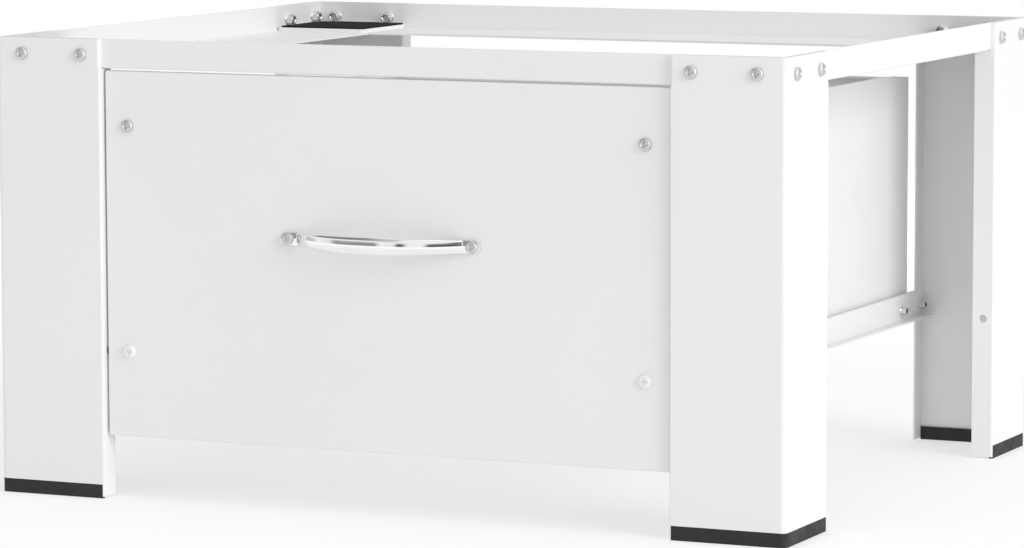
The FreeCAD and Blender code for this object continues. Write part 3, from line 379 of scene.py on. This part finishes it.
def turned_screw(head, head_height, thread, length, thread_run):
    """A flat-topped pan head that stands on z = 0 and a shank down to -length, threaded near its end."""
    rings = [(0.0, head_height, 0.0)]
    crown, rim = head_height * CROWN_SHARE, head / 2
    for step in range(1, HEAD_RINGS + 1):
        turn = math.radians(90 * step / HEAD_RINGS)
        drop = crown * (1 - math.cos(turn)) ** 1.5
        rings.append((rim * math.sin(turn) ** 0.5, head_height - drop, 0.0))
    rings += [(rim, BROKEN_EDGE, 0.0), (rim - BROKEN_EDGE, 0.0, 0.0), (thread / 2, 0.0, 0.0)]
    level = -(length - thread_run)
    rings.append((thread / 2, level, 0.0))
    while level > -(length - TIP_SLANT):
        level -= PITCH / THREAD_RINGS
        rings.append((thread / 2, level, THREAD_DEPTH))
    rings += [(thread / 2 - TIP_SLANT, -length, 0.0), (0.0, -length, 0.0)]
    points = []
    for radius, level, depth in rings:
        for step in range(AROUND):
            turn = 2 * math.pi * step / AROUND
            wave = (level / PITCH + step / AROUND) % 1.0
            reach = max(radius - depth * (1 - abs(2 * wave - 1)), SMALLEST_RING)
            points.append(Vector((reach * math.cos(turn), reach * math.sin(turn), level)))
    return points, join_rings(len(rings), AROUND)


# %% The cross recess
CUTTER_CLEAR = 0.0005
CUTTER_WIDE, CUTTER_NARROW = 1.12, 0.62
WELD = 0.00003


def cross_cutter(arm, half, depth, top):
    """A cross with sloping sides, whose wide end lies above `top`."""
    plan = [(arm, -half), (arm, half), (half, half), (half, arm), (-half, arm), (-half, half),
            (-arm, half), (-arm, -half), (-half, -half), (-half, -arm), (half, -arm), (half, -half)]
    points = []
    for level, share in ((top + CUTTER_CLEAR, CUTTER_WIDE), (top - depth, CUTTER_NARROW)):
        points += [(x * share, y * share, level) for x, y in plan]
    faces = [tuple(range(12)), tuple(range(23, 11, -1))]
    faces += [(step, step + 12, (step + 1) % 12 + 12, (step + 1) % 12) for step in range(12)]
    return points, faces


def cut_away(points, faces, cutter_points, cutter_faces):
    """Cut one closed mesh out of another; give the points and faces that are left."""
    pair = []
    solids = (("blank", points, faces), ("cutter", cutter_points, cutter_faces))
    for name, its_points, its_faces in solids:
        mesh = bpy.data.meshes.new(name)
        mesh.from_pydata([tuple(point) for point in its_points], [], its_faces)
        shaper = bmesh.new()
        shaper.from_mesh(mesh)
        bmesh.ops.remove_doubles(shaper, verts=shaper.verts, dist=WELD)
        bmesh.ops.recalc_face_normals(shaper, faces=shaper.faces)
        shaper.to_mesh(mesh)
        shaper.free()
        item = bpy.data.objects.new(name, mesh)
        bpy.context.scene.collection.objects.link(item)
        pair.append(item)
    blank, cutter = pair
    cut = blank.modifiers.new("cut", "BOOLEAN")
    cut.operation = "DIFFERENCE"
    cut.object = cutter
    cut.solver = "EXACT"
    done = bpy.data.meshes.new_from_object(blank.evaluated_get(bpy.context.evaluated_depsgraph_get()))
    left_points = [vertex.co.copy() for vertex in done.vertices]
    left_faces = [tuple(face.vertices) for face in done.polygons]
    for item in pair:
        mesh = item.data
        bpy.data.objects.remove(item)
        bpy.data.meshes.remove(mesh)
    bpy.data.meshes.remove(done)
    return left_points, left_faces


def make_screw(head, head_height, thread, length, thread_run):
    """A whole screw as points and faces; the size of its cross follows the size of its head."""
    points, faces = turned_screw(head, head_height, thread, length, thread_run)
    cutter = cross_cutter(arm=head * 0.29, half=head * 0.07, depth=head_height * 0.32, top=head_height)
    return cut_away(points, faces, *cutter)


# %% [markdown]
# ## Where the fasteners stand
#
# The screws of the legs come in fours, mirrored left to right; the back legs are drilled a little
# differently from the front ones. The bolts of the rails are mirrored both ways. A few numbers measured
# from the outer faces, and two signs, place them all.

# %% Places of the fasteners
HALF_WIDTH = 0.315
HALF_DEPTH = 0.265
MIDDLE = 0.0099
BOTH = (-1, 1)
SCREW_LEVEL = 0.330
FACE_SCREWS = {-1: (0.0225, 0.072), 1: (0.021, 0.0698)}
SIDE_SCREWS = {-1: (0.0163, 0.0633), 1: (0.0208, 0.0682)}
LEG_NUT_DEPTH = 0.0063
BOLT_LEVEL = 0.1103
BOLT_INSETS = (0.011, 0.056)
BOLT_SEAT, RUNNER_NUT_SEAT = 0.227, 0.230
DRAWER_FACE = -0.2499
FRONT_SCREW_X = 0.2068
FRONT_SCREW_LEVELS = (0.2781, 0.1109)
FRONT_NUT_DEPTH = 0.0022
HANDLE_SCREW_X = 0.0737
HANDLE_LEVEL = 0.2004
HANDLE_THICKNESS = 0.003
HANDLE_NUT_DEPTH = 0.0012


def leg_places(depth, outwards):
    """The 16 leg screw axes, at a depth inside the outer faces, looking outwards (1) or inwards (-1)."""
    places = []
    for side in BOTH:
        for end in BOTH:
            for inset in FACE_SCREWS[end]:
                spot = (side * (HALF_WIDTH - inset), MIDDLE + end * (HALF_DEPTH - depth), SCREW_LEVEL)
                places.append(facing(spot, (0, outwards * end, 0)))
            for inset in SIDE_SCREWS[end]:
                spot = (side * (HALF_WIDTH - depth), MIDDLE + end * (HALF_DEPTH - inset), SCREW_LEVEL)
                places.append(facing(spot, (outwards * side, 0, 0)))
    return places


def runner_places(distance, outwards):
    """The 8 runner bolt axes, at a distance from the middle, looking outwards (1) or inwards (-1)."""
    places = []
    for side in BOTH:
        for end in BOTH:
            for inset in BOLT_INSETS:
                spot = (side * distance, MIDDLE + end * (HALF_DEPTH - inset), BOLT_LEVEL)
                places.append(facing(spot, (outwards * side, 0, 0)))
    return places


def front_places(depth, backwards):
    """The 4 drawer front screw axes, at a depth behind the drawer's face, looking back (1) or front (-1)."""
    return [facing((side * FRONT_SCREW_X, DRAWER_FACE + depth, level), (0, backwards, 0))
            for side in BOTH for level in FRONT_SCREW_LEVELS]


def handle_places(depth, backwards):
    """The 2 handle screw axes, at a depth behind the drawer's face, looking back (1) or front (-1)."""
    return [facing((side * HANDLE_SCREW_X, DRAWER_FACE + depth, HANDLE_LEVEL), (0, backwards, 0))
            for side in BOTH]


print("leg screws:", len(leg_places(0, 1)), "runner bolts:", len(runner_places(BOLT_SEAT, -1)))

# %% Make the screws and bolts
leg_screw = make_screw(head=0.0096, head_height=0.003, thread=0.005, length=0.0118, thread_run=0.0055)
front_screw = make_screw(head=0.0096, head_height=0.003, thread=0.005, length=0.0088, thread_run=0.0045)
handle_screw = make_screw(head=0.0092, head_height=0.002, thread=0.004, length=0.0098, thread_run=0.005)
runner_bolt = make_screw(head=0.0092, head_height=0.0009, thread=0.004, length=0.0082, thread_run=0.0045)

make_piece("leg_screws_fine", *copy_to(*leg_screw, leg_places(0, 1)), "frame", "leg_screws")
make_piece("runner_bolts_fine", *copy_to(*runner_bolt, runner_places(BOLT_SEAT, -1)),
           "frame", "runner_bolts")
front_screws = make_piece("front_screws_fine", *copy_to(*front_screw, front_places(0, -1)),
                          "drawer", "drawer_front_screws")
make_piece("handle_screws_fine", *copy_to(*handle_screw, handle_places(-HANDLE_THICKNESS, -1)),
           "drawer", "handle_screws")

# %% [markdown]
# ## Two heads with a painted reflection
#
# The lower two screw heads of the drawer's front wear the white coat, a painted reflection that makes
# them hardly show. One mesh can carry two finishes: every face has a number that says which one it wears.

# %% Paint the reflection on the lower heads
# The white coat on the two lower heads is a painted reflection, as bright as the front around them.
front_screws.data.materials.append(powder_coat)
painted_reflection_faces = [face for face in front_screws.data.polygons
             if face.center.z < HANDLE_LEVEL and face.center.y < DRAWER_FACE]
for face in painted_reflection_faces:
    face.material_index = 1
print("lacquered faces:", len(painted_reflection_faces))

# %% [markdown]
# ## Flange nuts
#
# A flange nut is a hexagon on a round skirt, and a lathe has taken its top corners off at a slant. That
# slant is what makes a nut look like a nut: each flat ends in a shallow arc. We get it for nothing by
# letting every point of the hexagon's outline stay inside a cone.

# %% Make the nuts
NUT_STEPS = 72
SKIRT_HEIGHT = 0.0012
SKIRT_ROUNDING = 0.0002
BORE_PLAY = 0.00005
BORE_SLANT = 0.0003
CORNER_DROPS = (0.0006, 0.00045, 0.0003, 0.00015, 0.0)
CONE_TOP, CONE_SLOPE = 0.99, 1.6


def make_nut(across_flats, height, thread, skirt):
    """A flange nut that stands on z = 0, as points and faces; `skirt` is the radius of its flange."""
    flat = across_flats / 2

    def hexagon(turn):
        off = (turn + math.pi / 6) % (math.pi / 3) - math.pi / 6
        return flat / math.cos(off)

    bore = thread / 2 + BORE_PLAY
    rows = [("round", skirt - BROKEN_EDGE, 0.0), ("round", skirt, BROKEN_EDGE),
            ("round", skirt, SKIRT_HEIGHT * 0.55), ("round", skirt - SKIRT_ROUNDING, SKIRT_HEIGHT * 0.8),
            ("hex", 0, SKIRT_HEIGHT)]
    rows += [("hex", 0, height - drop) for drop in CORNER_DROPS]
    rows += [("round", bore + BORE_SLANT, height), ("round", bore, height - BORE_SLANT),
             ("round", bore, BORE_SLANT), ("round", bore + BORE_SLANT, 0.0)]
    points = []
    for kind, radius, level in rows:
        for step in range(NUT_STEPS):
            turn = 2 * math.pi * step / NUT_STEPS
            reach = radius
            if kind == "hex":
                reach = min(hexagon(turn), flat * CONE_TOP + (height - level) * CONE_SLOPE)
            points.append(Vector((reach * math.cos(turn), reach * math.sin(turn), level)))
    return points, join_rings(len(rows), NUT_STEPS, closed=True)


leg_nut = make_nut(across_flats=0.008, height=0.0065, thread=0.005, skirt=0.005)
front_nut = make_nut(across_flats=0.008, height=0.005, thread=0.005, skirt=0.005)
runner_nut = make_nut(across_flats=0.006, height=0.005, thread=0.004, skirt=0.0036)
handle_nut = make_nut(across_flats=0.007, height=0.004, thread=0.004, skirt=0.0045)

nut_sets = (
    ("leg_nuts_fine", leg_nut, leg_places(LEG_NUT_DEPTH, -1), "frame", "leg_nuts"),
    ("runner_nuts_fine", runner_nut, runner_places(RUNNER_NUT_SEAT, 1), "frame", "runner_nuts"),
    ("front_nuts_fine", front_nut, front_places(FRONT_NUT_DEPTH, 1), "drawer", "drawer_front_nuts"),
    ("handle_nuts_fine", handle_nut, handle_places(HANDLE_NUT_DEPTH, 1), "drawer", "handle_nuts"),
)
for name, nut, places, body, node in nut_sets:
    make_piece(name, *copy_to(*nut, places), body, node, sharp=25, finish=nut_zinc)

# %% [markdown]
# ## The handle
#
# The handle is a flat bar, bent into a shallow bow and flattened at each end into a tab with a screw
# through it. Chrome forgives nothing: every facet would show, so the bar wants many more cross-sections
# than the engineering file has. We walk along the bend and lay a cross-section at each step. Its face is
# slightly crowned and its edges are rounded, and it narrows towards the tabs, as the real bar does.

# %% The line of the handle
REACH = 0.028
BOW_RADIUS = 0.0985
BEND_RADIUS = 0.0045
TAB_TIP = 0.0063
TIP_STEPS, TAB_STEPS, BEND_STEPS, BOW_STEPS = 24, 5, 12, 48

bow_middle = BOW_RADIUS + HANDLE_THICKNESS / 2 - REACH
bend_level = -(HANDLE_THICKNESS / 2 + BEND_RADIUS)
bend_x = math.sqrt((BOW_RADIUS + BEND_RADIUS) ** 2 - (bow_middle - bend_level) ** 2)
bow_turn = math.atan2(bend_x, bow_middle - bend_level)


def handle_line():
    """Half of the bar's middle line, from the tip of a tab to the middle: x, y and the way it faces."""
    tip = HANDLE_SCREW_X + TAB_TIP
    tab_level = -HANDLE_THICKNESS / 2
    line = []
    for step in range(TIP_STEPS + 1):
        inwards = TAB_TIP * (1 - math.cos(math.pi / 2 * step / TIP_STEPS))
        line.append((tip - inwards, tab_level, 0.0))
    for step in range(1, TAB_STEPS + 1):
        line.append((HANDLE_SCREW_X + (bend_x - HANDLE_SCREW_X) * step / TAB_STEPS, tab_level, 0.0))
    for step in range(1, BEND_STEPS + 1):
        turn = bow_turn * step / BEND_STEPS
        line.append((bend_x - BEND_RADIUS * math.sin(turn), bend_level + BEND_RADIUS * math.cos(turn), turn))
    for step in range(1, BOW_STEPS + 1):
        turn = bow_turn * (1 - step / BOW_STEPS)
        line.append((BOW_RADIUS * math.sin(turn), bow_middle - BOW_RADIUS * math.cos(turn), turn))
    return line


half_line = handle_line()
whole_line = half_line + [(-x, y, -turn) for x, y, turn in reversed(half_line[:-1])]
print("handle sections:", len(whole_line), "bend starts at", round(bend_x * 1000, 1), "mm")

# %% The bar around the line
SECTION_STEPS = 40
MID_HALF, TAB_HALF = 0.0063, 0.005
NARROWING = 1.3
TIP_BLUNTNESS = 0.0004
EDGE_RADIUS = 0.0013
ROUND_CROWN, SQUARE_CROWN = 0.0005, 0.0005


def bar_section(half, crown):
    """Corners of the cross-section: z across the bar, depth outwards, from a flat back to a crowned face."""
    corners = []
    edge = min(EDGE_RADIUS, half * 0.9)
    for step in range(SECTION_STEPS):
        turn = 2 * math.pi * step / SECTION_STEPS
        across, out = math.cos(turn), math.sin(turn)
        square = 1.0 / max(abs(across), abs(out))
        z = across * square * (half - edge) + edge * across
        depth = out * square * (HANDLE_THICKNESS / 2 - edge) + edge * out
        share = z / half
        fall = ROUND_CROWN * share ** 2 + SQUARE_CROWN * share ** 4
        depth -= crown * fall * (depth / HANDLE_THICKNESS + 0.5)
        corners.append((z, depth))
    return corners


handle_points = []
for x, y, turn in whole_line:
    along = abs(x)
    half = MID_HALF - (MID_HALF - TAB_HALF) * min(along / bend_x, 1.0) ** NARROWING
    over = along - HANDLE_SCREW_X
    if over > 0:
        half = TAB_HALF * math.sqrt(max(1 - (over / TAB_TIP) ** 2, TIP_BLUNTNESS))
    outwards = Vector((math.sin(turn), -math.cos(turn)))
    crown = 1 - min(along / bend_x, 1.0) ** 4
    for z, depth in bar_section(half, crown):
        handle_points.append(Vector((x + outwards.x * depth,
                                     DRAWER_FACE + y + outwards.y * depth,
                                     HANDLE_LEVEL + z)))
handle_faces = join_rings(len(whole_line), SECTION_STEPS)
last = len(handle_points) - 1
handle_faces += [tuple(range(SECTION_STEPS)), tuple(last - step for step in range(SECTION_STEPS))]
make_piece("handle_bar", handle_points, handle_faces, "drawer", "handle", sharp=50)

# %% [markdown]
# ## The floor
#
# A product like this is shown on a sweep of white paper. The paper has to come out white without flooding
# the object with light. So the floor is half paper and half glow, like a light table: that sends soft light
# up into the legs and under the drawer. The camera and the mirrors see about the same paper, but its glow
# grows outwards: close to the legs it leaves the object's shadow a soft pale grey, and further off it lifts
# the floor to pure white.

# %% The floor
FLOOR_HALF = 2.6
FLOOR_COLOUR, FLOOR_LIGHT = 0.45, 0.52
SEEN_COLOUR, SEEN_NEAR, SEEN_FAR = 0.5, 0.49, 0.8
GROWS_FROM, GROWS_TO = 0.6, 2.5

floor_mesh = bpy.data.meshes.new("floor")
floor_corners = [(x * FLOOR_HALF, y * FLOOR_HALF, 0) for x, y in ((-1, -1), (1, -1), (1, 1), (-1, 1))]
floor_mesh.from_pydata(floor_corners, [], [(0, 1, 2, 3)])
floor = bpy.data.objects.new("floor", floor_mesh)
bpy.context.scene.collection.objects.link(floor)

floor_paper, paper_tree, paper_shader = start_finish("floor_paper")
paper_shader.inputs["Roughness"].default_value = 1.0
paper_shader.inputs["Specular IOR Level"].default_value = 0.0
path = paper_tree.nodes.new("ShaderNodeLightPath")
seen = paper_tree.nodes.new("ShaderNodeMath")
seen.operation = "MAXIMUM"
paper_tree.links.new(path.outputs["Is Camera Ray"], seen.inputs[0])
paper_tree.links.new(path.outputs["Is Glossy Ray"], seen.inputs[1])
paper_colour = add_range(paper_tree, seen.outputs[0], FLOOR_COLOUR, SEEN_COLOUR, 0.0, 1.0)
paper_tree.links.new(paper_colour, paper_shader.inputs["Base Color"])
away = paper_tree.nodes.new("ShaderNodeVectorMath")
away.operation = "LENGTH"
paper_tree.links.new(paper_tree.nodes.new("ShaderNodeTexCoord").outputs["Object"], away.inputs[0])
seen_glow = add_range(paper_tree, away.outputs["Value"], SEEN_NEAR, SEEN_FAR, GROWS_FROM, GROWS_TO)
glow_choice = paper_tree.nodes.new("ShaderNodeMix")
glow_choice.inputs[2].default_value = FLOOR_LIGHT
paper_tree.links.new(seen.outputs[0], glow_choice.inputs[0])
paper_tree.links.new(seen_glow, glow_choice.inputs[3])
glow = paper_tree.nodes.new("ShaderNodeEmission")
paper_tree.links.new(glow_choice.outputs[0], glow.inputs["Strength"])
total = paper_tree.nodes.new("ShaderNodeAddShader")
paper_tree.links.new(paper_shader.outputs[0], total.inputs[0])
paper_tree.links.new(glow.outputs[0], total.inputs[1])
paper_tree.links.new(total.outputs[0], paper_tree.nodes["Material Output"].inputs["Surface"])
floor_mesh.materials.append(floor_paper)
print("floor:", 2 * FLOOR_HALF, "m square")

# %% [markdown]
# ## Light
#
# The look is a bright studio tent: even light from everywhere, one large soft box to the right that makes
# the side faces a little brighter than the front and gives the screws their soft shadows, and a weaker one
# overhead for the ledges. The even light is the world. The boxes are area lamps, each placed by the
# direction and distance of its middle.
#
# Chrome needs something dark to mirror, or it looks like white plastic. A studio has that: the room beyond
# the tent, which shows in a narrow band along the horizon with bright and dark stretches, and the dim
# ceiling high up on the left. Only mirrored rays see them here, so the light on the object stays even.

# %% The world
SKY_STRENGTH = 0.72
ROOM_DARK = 0.1

world = bpy.data.worlds.new("studio")
bpy.context.scene.world = world
world.use_nodes = True
sky_tree = world.node_tree
sky = sky_tree.nodes["Background"]


def world_ramp(value, stops):
    """A smooth curve of greys over a value from 0 to 1."""
    ramp = sky_tree.nodes.new("ShaderNodeValToRGB")
    ramp.color_ramp.interpolation = "EASE"
    while len(ramp.color_ramp.elements) < len(stops):
        ramp.color_ramp.elements.new(0.5)
    for element, (position, shade) in zip(ramp.color_ramp.elements, stops):
        element.position = position
        element.color = (*grey(shade), 1.0)
    sky_tree.links.new(value, ramp.inputs["Fac"])
    return ramp.outputs["Color"]


def world_math(operation, first, second):
    """One step of arithmetic; either value may be a plain number."""
    step = sky_tree.nodes.new("ShaderNodeMath")
    step.operation = operation
    for socket, value in zip(step.inputs, (first, second)):
        if isinstance(value, float):
            socket.default_value = value
        else:
            sky_tree.links.new(value, socket)
    return step.outputs[0]


sky_way = sky_tree.nodes.new("ShaderNodeTexCoord")
sky_parts = sky_tree.nodes.new("ShaderNodeSeparateXYZ")
sky_tree.links.new(sky_way.outputs["Generated"], sky_parts.inputs["Vector"])
rise = world_math("MULTIPLY_ADD", sky_parts.outputs["Z"], 0.5)
rise.node.inputs[2].default_value = 0.5
turn_right = world_math("MULTIPLY_ADD", sky_parts.outputs["X"], 0.5)
turn_right.node.inputs[2].default_value = 0.5
horizon = world_ramp(rise, [(0.465, 0.0), (0.49, 1.0), (0.59, 0.9), (0.65, 0.0)])
horizon_stretches = world_ramp(turn_right, [
    (0.0, 0.5), (0.02, 0.0), (0.05, 0.1), (0.1, 0.75), (0.35, 0.8), (0.41, 0.05), (0.49, 0.05),
    (0.53, 1.0), (0.56, 1.0), (0.61, 0.0), (0.7, 0.0), (0.75, 1.0), (0.9, 1.0), (0.94, 0.0)])
ceiling = world_ramp(rise, [(0.65, 0.0), (0.72, 1.0)])
ceiling_stretches = world_ramp(turn_right, [(0.0, 0.9), (0.25, 0.8), (0.45, 0.45), (0.56, 0.0)])
room = world_math("MAXIMUM", world_math("MULTIPLY", horizon, horizon_stretches),
                  world_math("MULTIPLY", ceiling, ceiling_stretches))
mirrored = world_math("SUBTRACT", 1.0, world_math("MULTIPLY", room, 1.0 - ROOM_DARK))

sky_path = sky_tree.nodes.new("ShaderNodeLightPath")
camera_ray, glossy_ray = sky_path.outputs["Is Camera Ray"], sky_path.outputs["Is Glossy Ray"]
other_ray = world_math("SUBTRACT", 1.0, world_math("MAXIMUM", camera_ray, glossy_ray))
strength = world_math("MULTIPLY", other_ray, SKY_STRENGTH)
strength = world_math("ADD", strength, camera_ray)
strength = world_math("ADD", strength, world_math("MULTIPLY", glossy_ray, mirrored))
sky_tree.links.new(strength, sky.inputs["Strength"])
sky.inputs["Color"].default_value = (*grey(1.0), 1.0)
print("world nodes:", len(sky_tree.nodes))

# %% The soft boxes
def add_soft_box(name, turn, rise, distance, box_size, power):
    """A square lamp that looks at the origin; `turn` is degrees right of the front, `rise` degrees up."""
    lamp = bpy.data.lights.new(name, "AREA")
    lamp.energy = power
    lamp.size = box_size
    box = bpy.data.objects.new(name, lamp)
    bpy.context.scene.collection.objects.link(box)
    turn, rise = math.radians(turn), math.radians(rise)
    way = Vector((math.sin(turn) * math.cos(rise), -math.cos(turn) * math.cos(rise), math.sin(rise)))
    box.location = way * distance
    box.rotation_euler = way.to_track_quat("Z", "Y").to_euler()
    print(f"{name:10} at", [round(value, 2) for value in box.location])


add_soft_box("side_box", turn=70, rise=20, distance=6.0, box_size=3.0, power=149.0)
add_soft_box("top_box", turn=0, rise=89, distance=4.0, box_size=3.0, power=22.0)

# %% [markdown]
# ## The camera
#
# We look from the right and a little above, through a long lens from three and a half metres away, so that
# the upright edges stay nearly parallel. The camera is rolled by a tenth of a degree, too little to notice.

# %% The camera
EYE = (1.45480, -3.22185, 0.55090)
EYE_YAW = 0.42662
EYE_PITCH = -0.11239
EYE_ROLL = -0.00211
LENS = 162.41
FILM_WIDTH = 36.0
FARTHEST_SEEN = 200.0

camera_data = bpy.data.cameras.new("camera")
camera_data.sensor_width = FILM_WIDTH
camera_data.lens = LENS
camera_data.clip_end = FARTHEST_SEEN
camera = bpy.data.objects.new("camera", camera_data)
bpy.context.scene.collection.objects.link(camera)
camera.matrix_world = (Matrix.Translation(EYE)
                       @ Matrix.Rotation(EYE_YAW, 4, "Z")
                       @ Matrix.Rotation(math.pi / 2 + EYE_PITCH, 4, "X")
                       @ Matrix.Rotation(EYE_ROLL, 4, "Z"))
bpy.context.scene.camera = camera
bpy.context.scene.view_settings.view_transform = "Standard"
print("camera", round(Vector(EYE).length, 2), "m from the origin")
